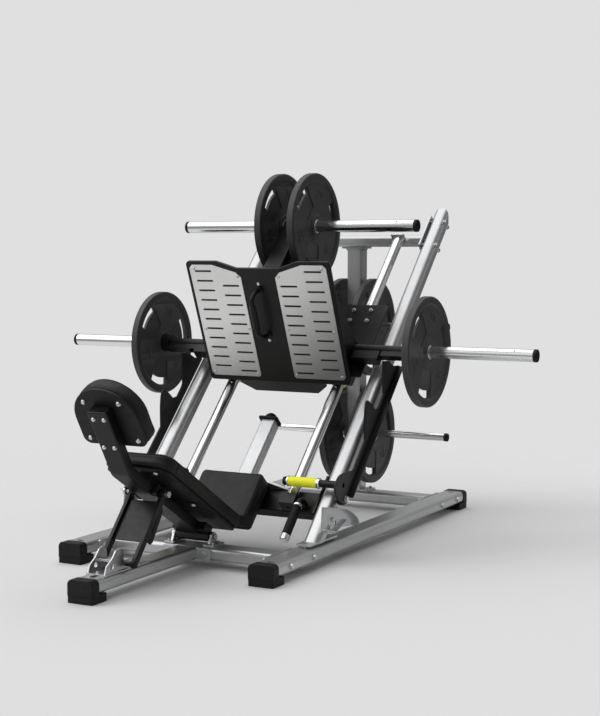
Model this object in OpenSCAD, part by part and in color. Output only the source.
// Plate-loaded 45-degree leg press: floor frame, inclined guide rods,
// sliding footplate carriage, safety catches, reclined seat and weight plates.
// Frame: +Z up, +Y towards the tall end (back), +X to the right of a person facing +Y.
// Origin on the floor at the centre of the overall footprint.

/* [Floor frame] */
// half distance between the centre lines of the two floor rails
rail_x = 417.5; // [412:0.5:424]
// width of the flat-oval floor tubes
tube_w = 100; // [96:1:104]
// height of the rubber foot pads under the floor tubes
foot_h = 30; // [20:1:40]
// reach of the centre spine in front of the carriage axis
spine_front = 1480; // [1470:1:1500]

/* [Rail frame] */
// half distance between the two guide rods
rod_x = 251; // [245:1:257]
// diameter of the guide rods
rod_d = 45; // [40:1:46]
// width of the inclined main tubes
upright_w = 66; // [60:1:68]

/* [Carriage] */
// half length of the side weight horns
side_horn = 1102; // [1000:1:1110]
// half length of the top weight horns
top_horn = 555.6; // [450:1:600]
// width of the footplate
footplate_w = 669; // [640:1:680]
// lean of the footplate from vertical in degrees
footplate_lean = 22.5; // [21:0.5:24]

/* [Weight plates] */
// diameter of every weight plate
plate_d = 450; // [420:1:450]
// thickness of every weight plate
plate_t = 33; // [28:1:36]
// diameter of the plate centre hole
plate_bore = 50.2; // [50:0.1:52]

/* [Seat] */
// width of the seat cushion
seat_w = 288; // [260:1:300]
// width of the backrest cushion
back_w = 290; // [270:1:300]
// thickness of the seat cushion
seat_t = 76; // [60:1:80]
// length of the backrest cushion
back_len = 598; // [570:1:600]

/* [Hidden] */

// Shared sizes; bolts and pins are given by radius
gap = 0.05;            // running clearance
tube_wall = 4;
flange_t = 8;          // flanges, base plates and gussets
big_bolt = 6;
mid_bolt = 5;
small_bolt = 4;
pin_r = 8;             // catch and backrest pivots
hole_gap = 0.2;        // added to a bolt radius for its hole
big_hole = big_bolt + hole_gap;
mid_hole = mid_bolt + hole_gap;
small_hole = small_bolt + hole_gap;
pin_hole = pin_r + gap;

// Floor frame
tube_h = 50;
tube_round = 16;       // corner radius of the floor tubes
tube_mid = foot_h + tube_h/2;
tube_top = foot_h + tube_h;
rail_front = 975;      // rail reach towards -Y
rail_back = 876;       // rail reach towards +Y
rail_inner = rail_x - tube_w/2;
front_bar_y = -760;
rear_bar_y = 680;
rail_foot_hole = 60.5; // foot bolt from the tube end
spine_foot_hole = 70;
rail_cap_reach = 13.75; // foot cap past the tube end
spine_cap_reach = 12.75;
spine_flange_t = 10;
spine_end = front_bar_y - tube_w/2 - spine_flange_t;
rack_y = 685.5;        // storage horn axis
rack_high = 850;
rack_low = 350.7;
rack_r = 17;
post_top = 1205;       // underside of the rear post's top plate
centre_y = (spine_front + spine_cap_reach - (rack_y + plate_d/2))/2;

// Rail frame, measured in the slope frame: s along the rails, n square to them
rail_angle = 45;
upright_x = 415;
upright_inner = upright_x - upright_w/2;
upright_outer = upright_x + upright_w/2;
upright_back_n = 438;
upright_front_n = 496;
beam_half = upright_inner - flange_t + 1; // beams run 1 into their end flanges
rod_n = 470;
rod_start = -186;
rod_end = 1290;
fan_x = upright_outer + 0.03;
fan_t = 6;
ratchet_t = 6;

// Bolt places
function crossbar_bolts(y) = [[y - 90, tube_mid], [y + 90, tube_mid]];      // [y, z]
upright_foot_bolts = [[upright_x, -640], [upright_x, -441]];                // [x, y]
post_foot_bolts = [for (x = [-60, 60], y = [658, 702]) [x, y]];             // [x, y]
post_top_bolts = [[-46, 670], [46, 670]];                                   // [x, y]
lug_bolts = [for (x = [-98, 98], y = [-22, 22]) [x, front_bar_y + y]];      // [x, y]
ratchet_bolts = [[0, -1385], [0, -1140]];                                   // [x, y]
spine_bolt_xs = [-80, 80];
upper_bolts = [for (s = [1244, 1389], n = [450, 484]) [s, n]];              // [s, n]
seat_beam_bolts = [[-55, 470], [-95, 470]];                                 // [s, n]
fan_bolts = [[-490, 167], [-516, 141]];                                     // [y, z]

// ---------- frames and helpers ----------
// level frame: y measured from the carriage axis, z from the floor
module level() { translate([0, centre_y, 0]) children(); }
// slope frame: y (s) up the rails, z (n) square to them, up and to the front
module slope() { translate([0, centre_y, 0]) rotate([rail_angle, 0, 0]) children(); }
// turns an outline in [y, z] to extrude along +X
module along_x() { rotate([90, 0, 90]) children(); }
// turns an outline in [x, -z] to extrude along +Y
module along_y() { rotate([-90, 0, 0]) children(); }
module x_plate(x, t) { translate([x, 0, 0]) along_x() linear_extrude(t) children(); }
module y_plate(y, t) { translate([0, y, 0]) along_y() linear_extrude(t) children(); }
module flip() { mirror([1, 0, 0]) children(); }
module both_sides() {
  children();
  flip() children();
}
module at_yz(points) { for (p = points) translate([0, p[0], p[1]]) children(); }
module at_xy(points) { for (p = points) translate([p[0], p[1], 0]) children(); }
module round_rect(w, h, r) {
  square([w - 2*r, h], center = true);
  square([w, h - 2*r], center = true);
  for (a = [-1, 1], b = [-1, 1]) translate([a*(w/2 - r), b*(h/2 - r)]) circle(r, $fn = 48);
}
module tube(w, h, r, length) {
  difference() {
    linear_extrude(length) round_rect(w, h, r);
    translate([0, 0, -1]) linear_extrude(length + 2)
      round_rect(w - 2*tube_wall, h - 2*tube_wall, r - tube_wall);
  }
}
// tube across the machine, from -half to +half
module span_tube(half, w, h, r) { translate([-half, 0, 0]) along_x() tube(w, h, r, 2*half); }
module x_rod(r, x1, x2, sides = 48) {
  translate([x1, 0, 0]) rotate([0, 90, 0]) cylinder(r = r, h = x2 - x1, $fn = sides);
}
module y_rod(r, length, sides = 48) { along_y() cylinder(r = r, h = length, $fn = sides); }
// bolt with its head standing on z and its shank below
module z_bolt(r, head_r, z, grip) {
  translate([0, 0, z - grip]) cylinder(r = r, h = grip + 0.001, $fn = 32);
  translate([0, 0, z]) cylinder(r = head_r + 2, h = 1.5, $fn = 32);
  translate([0, 0, z + 1.4]) cylinder(r = head_r, h = head_r*0.85, $fn = 6);
}
// bolt with its head outside x and its shank inwards
module x_bolt(r, head_r, x, grip) {
  x_rod(r, x - grip, x + 0.001);
  x_rod(head_r + 2, x, x + 1.5);
  x_rod(head_r, x + 1.4, x + 8.5, 6);
}
// bolt through a tube centred on x and the flange inside it, with a nut
module through_bolt(x, w, head_r, nut_r, nut_h, tail) {
  flange_x = x - w/2 - flange_t;
  x_bolt(big_bolt, head_r, x + w/2, w + tail);
  x_rod(nut_r, flange_x - nut_h, flange_x, 6);
}
// ring groove cut into a horn, down to core_r
module groove(x, core_r) {
  difference() {
    x_rod(40, x, x + 1.5);
    x_rod(core_r, x - 6, x + 4);
  }
}
module end_cap(r, x, length) {
  bevel = 3;
  x_rod(r, x, x + length - bevel);
  translate([x + length - bevel, 0, 0]) rotate([0, 90, 0])
    cylinder(r1 = r, r2 = r - bevel, h = bevel, $fn = 48);
}

// ---------- floor frame ----------
module foot_bolt_hole() {
  translate([0, 0, foot_h - 5]) cylinder(r = 7, h = 12, $fn = 40);
  translate([0, 0, tube_top - 10]) cylinder(r = 12.5, h = 20, $fn = 40);
}
module floor_rail() level() difference() {
  translate([rail_x, -rail_front, tube_mid])
    along_y() tube(tube_w, tube_h, tube_round, rail_front + rail_back);
  for (y = [rail_foot_hole - rail_front, rail_back - rail_foot_hole])
    translate([rail_x, y, 0]) foot_bolt_hole();
  at_yz(concat(crossbar_bolts(front_bar_y), crossbar_bolts(rear_bar_y)))
    x_rod(big_hole, rail_x - 60, rail_x + 60);
  at_xy(upright_foot_bolts)
    translate([0, 0, tube_top - 10]) cylinder(r = mid_hole, h = 20, $fn = 32);
}
module left_rail() color("silver") flip() floor_rail();
module right_rail() color("silver") floor_rail();

module center_spine() color("silver") level() difference() {
  union() {
    translate([0, -spine_front, tube_mid])
      along_y() tube(tube_w, tube_h, tube_round, spine_front + spine_end);
    translate([0, 0, tube_mid]) y_plate(spine_end, spine_flange_t) round_rect(210, 43, 6);
  }
  translate([0, spine_foot_hole - spine_front, 0]) foot_bolt_hole();
  for (x = spine_bolt_xs)
    translate([x, spine_end - 5, tube_mid]) y_rod(big_hole, 20, 32);
  at_xy(ratchet_bolts)
    translate([0, 0, tube_top - 10]) cylinder(r = small_hole, h = 20, $fn = 32);
}

module crossbar(y) level() difference() {
  translate([0, y, tube_mid]) {
    span_tube(rail_inner - flange_t, tube_w, tube_h, tube_round);
    both_sides() x_plate(rail_inner - flange_t, flange_t) round_rect(220, 46, 8);
  }
  both_sides() at_yz(crossbar_bolts(y)) x_rod(big_hole, rail_inner - 20, rail_inner + 5);
}
module front_crossbar() color("silver") difference() {
  crossbar(front_bar_y);
  level() {
    for (x = spine_bolt_xs)
      translate([x, front_bar_y - 55, tube_mid]) y_rod(big_hole, 20, 32);
    at_xy(lug_bolts)
      translate([0, 0, tube_top - 10]) cylinder(r = small_hole, h = 20, $fn = 32);
  }
}
module rear_crossbar() color("silver") difference() {
  crossbar(rear_bar_y);
  level() at_xy(post_foot_bolts)
    translate([0, 0, tube_top - 10]) cylinder(r = mid_hole, h = 20, $fn = 32);
}

module upper_crossbar() color("silver") difference() {
  union() {
    level() translate([0, 650, post_top + flange_t + 25]) span_tube(beam_half, 100, 50, 16);
    slope() both_sides() {
      translate([0, 1320, 430])
        x_plate(upright_inner - flange_t, flange_t) round_rect(190, 146, 10);
      translate([rod_x, 0, 473]) y_plate(rod_end, flange_t) round_rect(64, 58, 8);
    }
    level() both_sides() x_plate(rod_x - flange_t/2, flange_t)
      polygon([[602, 1222], [602, 1258], [590, 1258], [588, 1240]]);
  }
  level() at_xy(post_top_bolts)
    translate([0, 0, post_top]) cylinder(r = mid_hole, h = 20, $fn = 32);
  slope() both_sides() at_yz(upper_bolts)
    x_rod(big_hole, upright_inner - 20, upright_inner + 4);
}

// inclined tube cut level above its base plate and upright at the back
module upright() {
  difference() {
    slope() translate([upright_x, -620, (upright_back_n + upright_front_n)/2])
      along_y() tube(upright_w, upright_front_n - upright_back_n, 12, 2200);
    level() {
      translate([-1000, -2500, -800]) cube([2000, 5000, 800 + tube_top + flange_t]);
      translate([-1000, 684, 0]) cube([2000, 2000, 3000]);
    }
    slope() {
      at_yz(concat(upper_bolts, seat_beam_bolts))
        x_rod(big_hole, upright_x - 60, upright_x + 60);
      at_yz([catch_pivot]) x_rod(pin_r + hole_gap, upright_x, upright_x + 60);
    }
    level() at_yz(fan_bolts) x_rod(mid_hole, upright_x, upright_x + 60);
  }
  level() {
    difference() {
      translate([upright_x, -540, tube_top]) linear_extrude(flange_t) round_rect(62, 236, 8);
      at_xy(upright_foot_bolts)
        translate([0, 0, tube_top - 1]) cylinder(r = mid_hole, h = 12, $fn = 32);
    }
    x_plate(upright_x - flange_t/2, flange_t)
      polygon([[-531.4, 88], [-456, 88], [-456, 163.4]]);
  }
}
module left_upright() color("silver") flip() upright();
module right_upright() color("silver") upright();

module rear_post() color("silver") level() difference() {
  tube_base = tube_top + flange_t;
  union() {
    translate([0, 675, tube_base]) tube(72, 70, 8, post_top - tube_base);
    translate([0, 680, tube_top]) linear_extrude(flange_t) round_rect(160, 84, 8);
    translate([0, 670, post_top]) linear_extrude(flange_t) round_rect(124, 70, 8);
  }
  at_xy(post_foot_bolts)
    translate([0, 0, tube_top - 1]) cylinder(r = mid_hole, h = 12, $fn = 32);
  at_xy(post_top_bolts)
    translate([0, 0, post_top - 5]) cylinder(r = mid_hole, h = 20, $fn = 32);
  translate([0, 675, post_top - 5]) linear_extrude(20) round_rect(50, 50, 4);
}

module guide_rod(x) slope() translate([x, rod_start, rod_n])
  y_rod(rod_d/2, rod_end - rod_start, 72);
module left_guide_rod() color("gainsboro") guide_rod(-rod_x);
module right_guide_rod() color("gainsboro") guide_rod(rod_x);

// origin on the floor below the tube end, tube running towards +Y
module foot_cap(reach, hole_y) {
  cap_w = 104.5;
  difference() {
    union() {
      translate([0, 0, tube_mid - 0.5]) y_plate(-reach, 46) round_rect(cap_w, 55, 18);
      translate([-cap_w/2, -reach, 0]) cube([cap_w, 89, foot_h]);
    }
    translate([0, 0, tube_mid]) y_plate(0, 100) round_rect(tube_w, tube_h, tube_round);
    translate([0, hole_y, -1]) cylinder(r = 7, h = foot_h + 2, $fn = 40);
    translate([0, 20, -1]) cylinder(r = 14, h = 7, $fn = 40);
  }
}
module foot_caps() color("black") level() {
  for (x = [-rail_x, rail_x]) {
    translate([x, -rail_front, 0]) foot_cap(rail_cap_reach, rail_foot_hole);
    translate([x, rail_back, 0]) rotate([0, 0, 180]) foot_cap(rail_cap_reach, rail_foot_hole);
  }
  translate([0, -spine_front, 0]) foot_cap(spine_cap_reach, spine_foot_hole);
}

module frame_bolts() color("lightgrey") {
  flange_top = tube_top + flange_t;
  level() {
    both_sides() {
      at_yz(concat(crossbar_bolts(front_bar_y), crossbar_bolts(rear_bar_y)))
        through_bolt(rail_x, tube_w, head_r = 10, nut_r = 10, nut_h = 10, tail = 20);
      at_xy(upright_foot_bolts) z_bolt(mid_bolt, 8, flange_top, 14);
      at_yz(fan_bolts) x_bolt(mid_bolt, 8, fan_x + fan_t + 0.03, 12);
    }
    at_xy(post_foot_bolts) z_bolt(mid_bolt, 8, flange_top, 14);
    at_xy(post_top_bolts)
      translate([0, 0, post_top]) rotate([180, 0, 0]) z_bolt(mid_bolt, 8, 0, 14);
    for (x = spine_bolt_xs)
      translate([x, spine_end, tube_mid]) rotate([90, 0, 0]) z_bolt(big_bolt, 9, 0, 18);
    at_xy(lug_bolts) z_bolt(small_bolt, 6, flange_top, 13);
    at_xy(ratchet_bolts) z_bolt(small_bolt, 6, tube_top + ratchet_t, 11);
  }
  slope() both_sides() {
    at_yz(upper_bolts)
      through_bolt(upright_x, upright_w, head_r = 9, nut_r = 9, nut_h = 8, tail = 14);
    at_yz(seat_beam_bolts)
      through_bolt(upright_x, upright_w, head_r = 7, nut_r = 9, nut_h = 8, tail = 14);
  }
}

// Fan bracket outlines, [y, z] in the level frame
fan_upper_edge = [[-568, 227], [-405, 199], [-375, 188.5], [-348, 176], [-322, 162],
  [-302, 149], [-288, 135], [-283, 122], [-286, 112]];
// inside of the upper lip, from its lower end back to the front
fan_lip_inside = [[-290.9, 111.1], [-288, 121.4], [-292.5, 132.8], [-306, 145.6],
  [-325, 157.9], [-350.5, 171.6], [-377, 183.8], [-405.8, 194.1], [-568, 222]];
fan_lower_edge = [[-405, 124], [-486, 113], [-577, 138]];
fan_lower_lip = [[-486, 113], [-386, 147], [-387.6, 151.8], [-480, 120.4],
  [-575.7, 142.9], [-577, 138]];
module fan_brackets() color("silver") both_sides() level() difference() {
  union() {
    x_plate(fan_x, fan_t) polygon(concat(fan_upper_edge, fan_lower_edge));
    x_plate(fan_x, 24) polygon(concat(fan_upper_edge, fan_lip_inside));
    x_plate(fan_x, 20) polygon(fan_lower_lip);
  }
  at_yz(fan_bolts) x_rod(mid_hole, upright_x, upright_x + 60);
  at_yz([[-462, 149]]) x_rod(9, upright_x, upright_x + 60);
}

module seat_beam() color("dimgray") slope() difference() {
  union() {
    translate([0, -148, 421]) span_tube(beam_half, 100, 50, 6);
    both_sides() {
      translate([0, -135, 440])
        x_plate(upright_inner - flange_t, flange_t) round_rect(190, 100, 10);
      // sockets for the guide rods
      difference() {
        translate([rod_x - 34, -196, 445.5]) cube([68, 50, 56]);
        translate([rod_x, rod_start, rod_n]) y_rod(rod_d/2 + 0.02, 200, 72);
      }
    }
  }
  both_sides() {
    at_yz(seat_beam_bolts) x_rod(big_hole, upright_inner - 20, upright_inner + 4);
    translate([rod_x, -197, rod_n]) y_rod(big_hole, 12, 32);
  }
}
module stop_column() color("silver") slope() difference() {
  union() {
    translate([0, 0, 450]) y_plate(-89, 317) difference() {
      round_rect(66, 50, 8);
      round_rect(58, 42, 4);
    }
    y_plate(-97.97, 10) polygon([[-205, -412], [205, -412], [205, -446], [120, -490],
      [-120, -490], [-205, -446]]);
  }
  translate([30, -30, 448.2]) cube([6, 168, 3.6]);
}
module stop_bumper() color("black") slope() translate([0, 236.03, 458]) along_y() {
  translate([0, 0, -8]) linear_extrude(8.01) round_rect(88, 60, 8);
  cylinder(r = 25, h = 12, $fn = 64);
  // domed tip
  translate([0, 0, 12]) intersection() {
    translate([0, 0, -6]) sphere(r = 25.7, $fn = 64);
    cylinder(r = 26, h = 20, $fn = 64);
  }
}

ratchet_side = [[-1396, 86], [-1386, 112], [-1352, 134], [-1330, 158], [-1306, 164],
  [-1288, 150], [-1283, 118], [-1278, 89.5], [-1150, 89.5], [-1150, 86]]; // [y, z]
module ratchet_bracket() color("silver") level() difference() {
  union() {
    translate([0, -1262, tube_top]) linear_extrude(ratchet_t) round_rect(88, 276, 8);
    both_sides() x_plate(32, ratchet_t) difference() {
      polygon(ratchet_side);
      for (y = [-1265:33:-1166]) translate([y, 99]) circle(10.5, $fn = 48);
      translate([-1352, 106]) circle(9, $fn = 40);
    }
    translate([-38, -1346, 118]) cube([76, 10, 10]);
  }
  at_xy(ratchet_bolts)
    translate([0, 0, tube_top - 1]) cylinder(r = small_hole, h = 8, $fn = 32);
}
module hinge_lugs() color("silver") level() both_sides() difference() {
  lug_r = 18;
  union() {
    translate([87, front_bar_y, tube_top]) linear_extrude(flange_t) round_rect(48, 84, 6);
    x_plate(78, 10) union() {
      polygon([[front_bar_y - 30, 86], [front_bar_y + 30, 86],
        [back_hinge[0] + lug_r, 115], [back_hinge[0] - lug_r, 115]]);
      translate(back_hinge) circle(lug_r, $fn = 48);
    }
  }
  at_xy(lug_bolts)
    translate([0, 0, tube_top - 1]) cylinder(r = small_hole, h = 12, $fn = 32);
  at_yz([back_hinge]) x_rod(pin_hole, 70, 95);
}
module catch_pivot_bolts() color("lightgrey") slope() both_sides() at_yz([catch_pivot]) {
  x_rod(pin_r, upright_outer - 17, lever_x + 13);
  x_rod(12.3, upright_outer + gap, 454.5);
  x_rod(13, lever_x + 8.5, lever_x + 10.5);
  x_rod(11, lever_x + 10.4, lever_x + 17.5, 6);
  x_rod(9.7, upright_outer - 15, upright_outer - 4.1);
}

rack_horn_end = 438;
module storage_horns() color("gainsboro") level() both_sides()
  at_yz([[rack_y, rack_low], [rack_y, rack_high]]) difference() {
    union() {
      x_rod(rack_r, 36, rack_horn_end);
      x_rod(34, 36, 56);
    }
    groove(96, 16);
  }
module horn_end_caps_fixed() color("black") level() both_sides()
  at_yz([[rack_y, rack_low], [rack_y, rack_high]]) end_cap(16.6, rack_horn_end, 15.8);

// ---------- seat ----------
hand_x = 312;    // hand tube axis
hand_r = 12.5;
hand_bend = 25;  // bend radius
hand_base_n = 446;
hand_bend_s = -195;
grip_n = 505;
module seat_bracket() color("dimgray") slope() {
  translate([-60, -198, 446]) cube([120, 100, 8]);
  both_sides() x_plate(52, 8) polygon([[-198, 453], [-98, 453], [-98, 466], [-300, 466],
    [-300, 458], [-215, 453]]);
}
module seat_board() color("black") slope()
  translate([0, -212, 466]) linear_extrude(15.8) round_rect(seat_w - 28, 209, 14);
module seat_pad() color("black") slope()
  translate([0, -210.5, 482]) linear_extrude(seat_t) round_rect(seat_w, 223, 19);
module hand_tubes() color("black") slope() both_sides() {
  bend_n = grip_n - hand_bend;
  translate([hand_x, hand_bend_s + hand_bend, hand_base_n]) {
    cylinder(r = hand_r, h = bend_n - hand_base_n, $fn = 48);
    cylinder(r = 22, h = 4, $fn = 48);
  }
  translate([hand_x, hand_bend_s, bend_n]) along_x()
    rotate_extrude(angle = 90, $fn = 64) translate([hand_bend, 0]) circle(hand_r, $fn = 48);
  translate([hand_x, -366, grip_n]) y_rod(hand_r, hand_bend_s + 366);
}
module grip_collar(s, length) translate([0, s, 0]) difference() {
  y_rod(18.5, length, 64);
  translate([0, -1, 0]) y_rod(hand_r + gap, 20);
}
module hand_grips() color("black") slope() both_sides() translate([hand_x, 0, grip_n]) {
  translate([0, -345, 0]) difference() {
    union() {
      y_rod(17, 125, 64);
      for (i = [0:9]) translate([0, 6 + i*11.5, 0]) y_rod(18.2, 6, 64);
    }
    translate([0, -1, 0]) y_rod(hand_r + gap, 130);
  }
  grip_collar(-362, 16);
  translate([0, -370, 0]) y_rod(18.5, 4, 64);
  grip_collar(-219, 9);
}

// ---------- footplate ----------
footplate_len = 548;
footplate_t = 14;
// footplate frame: origin at its bottom edge centre, +y up the plate, +z out of the front
module on_footplate() {
  level() translate([0, -78.2, 643.4]) rotate([90 + footplate_lean, 0, 0]) children();
}
// the space from the back of the footplate forwards
module footplate_space() on_footplate()
  translate([-500, -100, -footplate_t - 0.02]) cube([1000, 900, 200]);
module footplate_outline() {
  notch_x = footplate_w/2 - 146;
  difference() {
    translate([0, footplate_len/2]) round_rect(footplate_w, footplate_len, 18);
    polygon([[-notch_x, footplate_len + 1], [-notch_x, footplate_len], [-98, footplate_len - 30],
      [98, footplate_len - 30], [notch_x, footplate_len], [notch_x, footplate_len + 1]]);
  }
}
// open pockets in the back: three low and three high
module footplate() color("black") on_footplate() difference() {
  translate([0, 0, -footplate_t]) linear_extrude(footplate_t) footplate_outline();
  for (x = [-215, 0, 215], row = [[167, 300], [460, 44]]) // row: [centre y, height]
    translate([x, row[0], -footplate_t - 1]) linear_extrude(9)
      round_rect(x == 0 ? 226 : 160, row[1], 12);
}

// screw places on the right tread, [x, y] in the footplate frame
tread_holes = [[93, 38], [303, 38], [92, 246], [303, 240], [297, 516], [96, 482]];
module tread_outline() polygon([[80, 32], [88, 24], [306, 24], [318, 36],
  [318, footplate_len - 28], [304, footplate_len - 14], [208, footplate_len - 14],
  [102, footplate_len - 47], [80, footplate_len - 69]]);
module tread_slots(x, top_y, last) for (i = [0:last])
  translate([x, top_y - i*43.6, -1]) linear_extrude(6) round_rect(78, 8.4, 4.1);
module tread() on_footplate() difference() {
  linear_extrude(3) tread_outline();
  tread_slots(255, 505.6, 10);
  tread_slots(135, 441, 9);
  at_xy(tread_holes) translate([0, 0, -1]) cylinder(r = 3.2, h = 6, $fn = 32);
}
module tread_right() color("gainsboro") tread();
module tread_left() color("gainsboro") flip() tread();
module tread_screws() color("lightgrey") both_sides() on_footplate() at_xy(tread_holes) {
  cylinder(r = 3, h = 3.2, $fn = 32);
  translate([0, 0, 3]) cylinder(r1 = 7, r2 = 5, h = 3, $fn = 32);
}

// bow handle standing on two feet and tilted to one side
module foot_handle() color("black") on_footplate() translate([-5, 0, 0]) {
  bar_r = 9;
  bend = 44;
  low_y = 222;
  high_y = 424;
  foot_top = 16;
  for (y = [low_y, high_y]) translate([0, y, 0]) cylinder(r = 15, h = 6.5, $fn = 40);
  rotate([0, -14, 0]) {
    for (y = [low_y, high_y]) translate([0, y, 3.5]) cylinder(r = bar_r, h = 12.5, $fn = 40);
    // bends: [centre y, turn about x]
    for (b = [[low_y + bend, 180], [high_y - bend, 0]])
      translate([0, b[0], foot_top]) rotate([0, -90, 0]) rotate([b[1], 0, 0])
        rotate_extrude(angle = 90, $fn = 96) translate([bend, 0]) circle(bar_r, $fn = 40);
    translate([0, low_y + bend, foot_top + bend]) y_rod(bar_r, high_y - low_y - 2*bend, 40);
    translate([0, 270, foot_top + bend]) y_rod(13, 106);
  }
}

// ---------- carriage ----------
side_horn_at = [0, 556.8, 556.8];  // horn axes in the slope frame
top_horn_at = [0, 979.6, 855.4];
carriage_n = 515;                  // underside of the carriage plates
carriage_t = 8;
bar_end = 618;                     // side sleeves start here
horn_cap = 14;                     // length of the moving horns' end caps
sleeve_r = plate_bore/2 - gap;
bearing_s = [778, 500];            // bearing centres along the rods
bearing_bolts = [for (s = bearing_s, a = [-30, 30], x = [-40, 40]) [rod_x + x, s + a]];
// side gusset between footplate and carriage, [y, z] in the level frame
gusset_outline = [[-65.3, 648.8], [-237.5, 1064.6], [-212, 1075], [8, 822], [60, 798.5],
  [-48, 690.5], [-65.3, 673]];
// plate hung between the rods with a stepped lower edge, [x, -n]
stop_plate_outline = [[-330, -507], [330, -507], [330, -494], [205, -494], [205, -478],
  [150, -430], [-150, -430], [-205, -478], [-205, -494], [-330, -494]];

module carriage_frame() color("dimgray") difference() {
  union() {
    slope() {
      both_sides() translate([267, 640, carriage_n])
        linear_extrude(carriage_t) round_rect(196, 400, 10);
      translate([-180, 770, carriage_n]) cube([360, 50, carriage_t]);
      translate([-180, 440.5, carriage_n]) cube([360, 160, carriage_t]);
      y_plate(414, 8) polygon(stop_plate_outline);
      translate([-190, 418, 505]) cube([380, 52, 10.5]);
    }
    level() both_sides() for (x = [304, 120]) x_plate(x, 8) polygon(gusset_outline);
  }
  slope() translate(side_horn_at) x_rod(21.05, -700, 700, 72);
  footplate_space();
  slope() both_sides() at_xy(bearing_bolts)
    translate([0, 0, 505]) cylinder(r = small_hole, h = 30, $fn = 32);
}
module bearing_housings() color("dimgray") slope() both_sides() difference() {
  for (s = bearing_s)
    translate([rod_x, 0, rod_n]) y_plate(s - 48, 96) translate([0, -9]) round_rect(104, 72, 10);
  for (s = bearing_s) translate([rod_x, s - 60, rod_n]) y_rod(29, 120, 72);
  at_xy(bearing_bolts) translate([0, 0, 495]) cylinder(r = small_hole, h = 40, $fn = 32);
}
module bearing_bushes() color("khaki") slope() both_sides() for (s = bearing_s)
  translate([rod_x, s - 50, rod_n]) difference() {
    union() {
      y_rod(28.98, 100, 72);
      for (y = [-4, 98]) translate([0, y, 0]) y_rod(33, 6, 72);
    }
    translate([0, -10, 0]) y_rod(rod_d/2 + gap, 130, 72);
  }
module horn_bar() color("black") slope() translate(side_horn_at) difference() {
  union() {
    x_rod(21, -bar_end, bar_end);
    both_sides() {
      x_rod(38, bar_end - 10, bar_end);
      translate([0, -42, 0]) {
        translate([322, -21, -21]) cube([118, 42, 42]);
        translate([330, 15, -6]) cube([102, 16, 12]);
      }
    }
  }
  both_sides() x_rod(12, 570, 620);
}
// small cross hole near a horn tip
module horn_tip_hole(tip) translate([tip - 90, 0, 10]) cylinder(r = 3.5, h = 30, $fn = 24);
module side_sleeves() color("gainsboro") both_sides() slope() translate(side_horn_at)
  difference() {
    union() {
      x_rod(sleeve_r, bar_end, side_horn - horn_cap);
      x_rod(11.9, 575, 620);
    }
    horn_tip_hole(side_horn);
    groove(655, 23.8);
  }
module top_arm() color("dimgray") difference() {
  slope() {
    translate([0, 0, 856]) y_plate(560, 475) difference() {
      round_rect(84, 92, 8);
      round_rect(74, 82, 4);
    }
    translate(top_horn_at) x_rod(34, -50, 50);
    x_plate(-34, 68) polygon([[770, 523], [820, 523], [950, 812], [900, 812]]);
  }
  slope() translate(top_horn_at) x_rod(14, -60, 60);
  footplate_space();
}
module top_sleeves() color("gainsboro") both_sides() slope() translate(top_horn_at)
  difference() {
    union() {
      x_rod(sleeve_r, 50, top_horn - horn_cap);
      x_rod(13.9, 20, 52);
      x_rod(34, 50, 56);
    }
    horn_tip_hole(top_horn);
    groove(96, 23.8);
  }
module horn_end_caps_moving() color("black") slope() both_sides() {
  translate(side_horn_at) end_cap(24.2, side_horn - horn_cap, horn_cap);
  translate(top_horn_at) end_cap(24.2, top_horn - horn_cap, horn_cap);
}
module carriage_bolts() color("lightgrey") {
  slope() both_sides() at_xy(bearing_bolts)
    z_bolt(small_bolt, 7.5, carriage_n + carriage_t, 22);
  on_footplate() at_xy([[-5, 196], [-5, 450]]) cylinder(r1 = 8, r2 = 6, h = 4, $fn = 32);
}

// ---------- safety catches ----------
catch_pivot = [-135.8, 475.2];  // [s, n]
catch_grip = [-111, 528];       // [s, n]
lever_x = 475;                  // inner face of the lever plate
catch_grip_r = 20;
// long arm of the lever with its two raised humps, [s, n]
lever_arm = [[-125, 458], [560, 458], [556, 466], [523, 500], [506, 549], [471, 591],
  [462, 582], [411, 531], [379, 495], [362, 491], [309, 489.5], [282, 511], [277, 550],
  [266, 588], [258, 596], [244, 595], [221, 581], [190, 555], [135, 498.6], [-12, 498.6],
  [-30, 480]];
// lower head around the pivot and the grip, [s, n]
lever_head = [[-125, 458], [0, 458], [-8, 491], [-54, 540], [-88, 569], [-105, 579],
  [-125, 584], [-150, 583], [-167, 572], [-175, 550], [-176, 519], [-168, 500],
  [-154, 466], [-135.8, 455]];
module lever_outline() difference() {
  union() {
    polygon(lever_arm);
    polygon(lever_head);
    translate(catch_pivot) circle(21, $fn = 60);
  }
  translate(catch_pivot) circle(pin_hole, $fn = 60);
  translate(catch_grip) circle(9, $fn = 48);
}
module catch_lever() slope() {
  x_plate(lever_x, 8) lever_outline();
  translate([lever_x, -112, 450]) cube([25, 672, 8.01]);
  at_yz([catch_pivot]) difference() {
    x_rod(25, 455, lever_x + 0.01);
    x_rod(pin_hole, 450, lever_x + 20);
  }
  at_yz([catch_grip]) difference() {
    x_rod(15, 344, lever_x + 0.01);
    x_rod(9, 330, lever_x + 20);
  }
}
module catch_lever_right() color("dimgray") catch_lever();
module catch_lever_left() color("dimgray") flip() catch_lever();
module grip_sleeve() slope() at_yz([catch_grip]) {
  x_rod(catch_grip_r, 248, 343.9);
  difference() {
    x_rod(catch_grip_r, 343.8, 372);
    x_rod(15.05, 343.8, 380);
  }
  x_rod(17, 222, 248.1);
  difference() {
    x_rod(21.5, 371.9, 385);
    x_rod(15.05, 370, 390);
  }
}
module catch_grip_right() color("yellow") grip_sleeve();
module catch_grip_left() color("yellow") flip() grip_sleeve();

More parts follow.
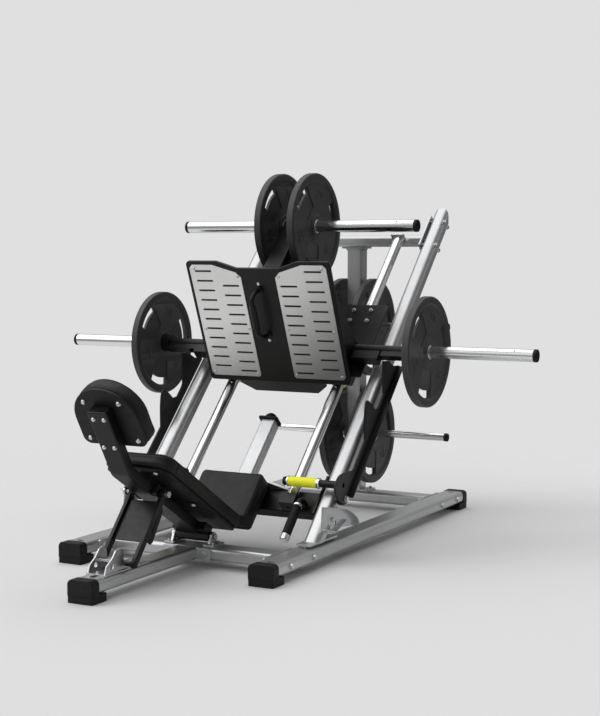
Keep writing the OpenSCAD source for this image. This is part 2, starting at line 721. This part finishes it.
// ---------- backrest ----------
back_hinge = [-757, 112];  // [y, z] in the level frame
back_angle = 31;           // rise of the backrest
head_angle = 59;           // rise of the headrest
head_bend = head_angle - back_angle;
bend_at = [565, 18];       // bend of the beam's centre line, [y, z] in the back frame
beam_r = 20;               // half depth of the beam
mitre = beam_r*tan(head_bend/2);
head_beam = 272;           // beam length past the bend
strut_pin = [378, 16];     // [y, z] in the back frame
cushion_ys = [203, 496];   // cross bars under the cushion
// [x, y] in the head frame
head_bolts = [for (x = [-22, 22], y = [121, 242]) [x, y]];
// back frame: origin at the hinge, y up the back, z out of the cushion side, x to the left
module on_back() {
  level() at_yz([back_hinge]) rotate([0, 0, 180]) rotate([back_angle, 0, 0]) children();
}
// head frame: the back frame moved to the bend and turned with the headrest
module on_head() { on_back() at_yz([bend_at]) rotate([head_bend, 0, 0]) children(); }
// a head frame point [y, z] in the back frame
function head_point(y, z) = bend_at
  + [y*cos(head_bend) - z*sin(head_bend), y*sin(head_bend) + z*cos(head_bend)];

module back_frame() color("dimgray") difference() {
  low_z = bend_at[1] - beam_r;
  high_z = bend_at[1] + beam_r;
  on_back() {
    x_plate(-40, 80) polygon([[10, low_z], [bend_at[0] + mitre, low_z],
      head_point(head_beam, -beam_r), head_point(head_beam, beam_r),
      [bend_at[0] - mitre, high_z], [10, high_z]]);
    x_rod(20, -72, 72, 64);
    translate([-72, 0, 2]) cube([144, 60, 34]);
    for (x = [-58, 40]) translate([x, 340, -4]) cube([18, 76, 42]);
    for (y = cushion_ys) {
      translate([-36, y - 15, 30]) cube([72, 30, 18]);
      translate([-102, y - 15, 47]) cube([204, 30, 4.97]);
    }
  }
  on_back() at_yz([[0, 0], strut_pin]) x_rod(pin_hole, -100, 100);
  on_head() at_xy(head_bolts)
    translate([0, 0, -22]) cylinder(r = small_hole, h = 50, $fn = 32);
}
// rounded rectangle with corner radius low_r at the low end, high_r at the high end
module back_outline(w, length, low_r, high_r) {
  translate([0, 30 - length/4]) round_rect(w, length/2 + 60, low_r);
  translate([0, length/4 - 30]) round_rect(w, length/2 + 60, high_r);
}
module back_board() color("black") on_back()
  translate([0, 222, 52]) linear_extrude(12.8) back_outline(back_w - 26, back_len - 30, 16, 42);
module back_pad() color("black") on_back()
  translate([0, 222, 65]) linear_extrude(56) back_outline(back_w, back_len, 28, 55);
module head_outline(r) {
  translate([0, 208]) circle(r, $fn = 96);
  translate([0, 160]) round_rect(2*r, 96, 1);
  translate([0, 132]) round_rect(2*r, 60, 29);
}
module head_board() color("black") on_head() difference() {
  translate([0, 0, 20.03]) linear_extrude(12.77) head_outline(132);
  at_xy([[-22, 242], [22, 242]])
    translate([0, 0, 10]) cylinder(r = small_hole, h = 50, $fn = 32);
}
module head_pad() color("black") on_head()
  translate([0, 0, 33]) linear_extrude(62) head_outline(137);

// screw head tapering towards -z
module cone_head(r) rotate([180, 0, 0]) cylinder(r1 = r, r2 = r - 3, h = 5, $fn = 32);
module back_bolts() color("lightgrey") {
  on_back() {
    for (x = [-88, 88], y = cushion_ys) translate([x, y, 46.97]) cone_head(10);
    // hinge pin
    x_rod(pin_r, -92, 92);
    x_rod(12, -96, -90, 6);
    x_rod(12, 90, 96, 6);
    at_yz([strut_pin]) {
      x_rod(pin_r, -88, 96);
      x_rod(13, -91, -84, 6);
      x_rod(16, 92, 100, 40);
    }
  }
  on_head() {
    at_xy([[-73, 284], [73, 284], [-100, 128], [100, 128]]) translate([0, 0, 20]) cone_head(10);
    at_xy(head_bolts) translate([0, 0, -20.03]) {
      cone_head(9);
      rotate([180, 0, 0]) translate([0, 0, -14]) cylinder(r = small_bolt, h = 14.01, $fn = 32);
    }
  }
}

strut_len = 292;
strut_fall = atan2(220, 192); // slope of the strut below level
strut_x = 60;                 // inner face of each strut arm
strut_t = 14;
// strut frame: origin at the strut pin, y down the strut to the front
module on_strut() {
  on_back() at_yz([strut_pin]) rotate([-back_angle - strut_fall, 0, 0]) children();
}
module strut() color("black") on_strut() {
  both_sides() difference() {
    union() {
      x_rod(17, strut_x, strut_x + strut_t);
      translate([strut_x, 0, -13]) cube([strut_t, strut_len - 14, 26]);
      translate([0, strut_len, 0]) x_rod(15, strut_x, strut_x + strut_t);
      translate([strut_x, strut_len - 20, -11]) cube([strut_t, 20, 22]);
    }
    x_rod(pin_hole, 50, 90);
  }
  translate([-61, 34, -4]) cube([122, 168, 6]);
  // slotted plate on one side
  x_plate(-68, 6) difference() {
    polygon([[42, -6], [44, -30], [54, -38], [150, -50], [172, -52], [186, -44], [192, -6]]);
    polygon([[80, -15.5], [150, -18.5], [150, -25], [80, -21.5]]);
  }
  translate([0, strut_len, 0]) x_rod(9, -78, 78);
}

// ---------- weight plates ----------
// axis along X, inner face at x 0
module weight_plate() {
  outer = plate_d/2;
  bore = plate_bore/2;
  step = 6;       // recess depth, its slope and the rim bevels
  hub = 50;
  rim = outer - 28;
  pocket = 9.5;   // pocket depth from each face
  along_x() difference() {
    rotate_extrude($fn = 120) polygon([
      [bore, 1], [bore, plate_t - 1], [bore + 1, plate_t], [hub, plate_t],
      [hub + step, plate_t - step], [rim - step, plate_t - step], [rim, plate_t],
      [outer - step, plate_t], [outer, plate_t - step], [outer, step], [outer - step, 0],
      [rim, 0], [rim - step, step], [hub + step, step], [hub, 0], [bore + 1, 0]]);
    for (a = [16, 136, 256]) rotate([0, 0, a]) {
      // curved window through the plate
      translate([0, 0, -1]) linear_extrude(plate_t + 2) intersection() {
        difference() {
          circle(outer - 38, $fn = 96);
          circle(outer - 69, $fn = 96);
        }
        polygon([[0, 0], [260, -95], [260, 95]]);
      }
      for (z = [-1, plate_t - pocket]) translate([0, 0, z]) linear_extrude(pocket + 1)
        intersection() {
          circle(outer - 37, $fn = 96);
          polygon([[74, -42], [190, -67], [190, 67], [74, 42]]);
        }
    }
  }
}
loaded_x = 60;  // inner face on the top and storage horns
module plate_on_horn(x, horn_at) slope()
  translate(horn_at + [x, 0, 0]) rotate([-rail_angle, 0, 0]) weight_plate();
// hangs with its bore resting on the storage horn
module stored_plate(z) level()
  translate([loaded_x, rack_y, z - (plate_bore/2 - rack_r - gap)]) weight_plate();
module plate_side_right() color("dimgray") plate_on_horn(bar_end + 0.6, side_horn_at);
module plate_side_left() color("dimgray") flip() plate_on_horn(bar_end + 0.6, side_horn_at);
module plate_top_right() color("dimgray") plate_on_horn(loaded_x, top_horn_at);
module plate_top_left() color("dimgray") flip() plate_on_horn(loaded_x, top_horn_at);
module plate_upper_right() color("dimgray") stored_plate(rack_high);
module plate_upper_left() color("dimgray") flip() stored_plate(rack_high);
module plate_lower_right() color("dimgray") stored_plate(rack_low);
module plate_lower_left() color("dimgray") flip() stored_plate(rack_low);

left_rail();
right_rail();
center_spine();
front_crossbar();
rear_crossbar();
upper_crossbar();
left_upright();
right_upright();
rear_post();
left_guide_rod();
right_guide_rod();
foot_caps();
frame_bolts();
fan_brackets();
seat_beam();
stop_column();
stop_bumper();
ratchet_bracket();
hinge_lugs();
catch_pivot_bolts();
storage_horns();
horn_end_caps_fixed();
seat_bracket();
seat_board();
seat_pad();
hand_tubes();
hand_grips();
footplate();
tread_left();
tread_right();
tread_screws();
foot_handle();
carriage_frame();
bearing_housings();
bearing_bushes();
horn_bar();
side_sleeves();
top_arm();
top_sleeves();
horn_end_caps_moving();
carriage_bolts();
catch_lever_left();
catch_lever_right();
catch_grip_left();
catch_grip_right();
back_frame();
back_board();
back_pad();
head_board();
head_pad();
back_bolts();
strut();
plate_side_left();
plate_side_right();
plate_top_left();
plate_top_right();
plate_upper_left();
plate_upper_right();
plate_lower_left();
plate_lower_right();
